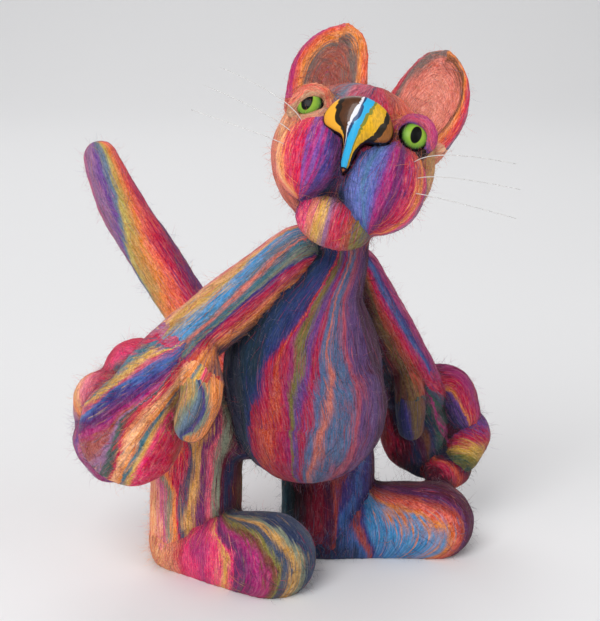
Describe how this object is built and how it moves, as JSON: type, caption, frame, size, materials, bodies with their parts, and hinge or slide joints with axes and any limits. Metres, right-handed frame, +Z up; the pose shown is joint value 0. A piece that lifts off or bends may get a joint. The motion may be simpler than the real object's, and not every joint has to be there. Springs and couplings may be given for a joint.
{
  "type": "felted wool cat figure",
  "caption": "Needle-felted cat figure in striped rainbow wool, standing on long flat feet, head tilted, with glass eyes, a glossy banded nose, fine whiskers and a raised tail.",
  "frame": {"origin": "on the ground, under the middle of the whole cat's box", "axes": "+Z up, the cat stands facing -Y, its left side is +X"},
  "size_m": [0.1882, 0.2282, 0.2342],
  "materials": {
    "felted_wool": "needle-felted wool roving, matt and hairy",
    "eye_glass": "polished domed glass",
    "nose_gloss": "high gloss",
    "whisker_nylon": "translucent thread"
  },
  "bodies": {
    "root": {"felted_wool_cat": "felted_wool", "right_eye": "eye_glass", "left_eye": "eye_glass", "nose": "nose_gloss", "right_whisker_1": "whisker_nylon", "right_whisker_2": "whisker_nylon", "right_whisker_3": "whisker_nylon", "left_whisker_1": "whisker_nylon", "left_whisker_2": "whisker_nylon", "left_whisker_3": "whisker_nylon"}
  },
  "joints": []
}
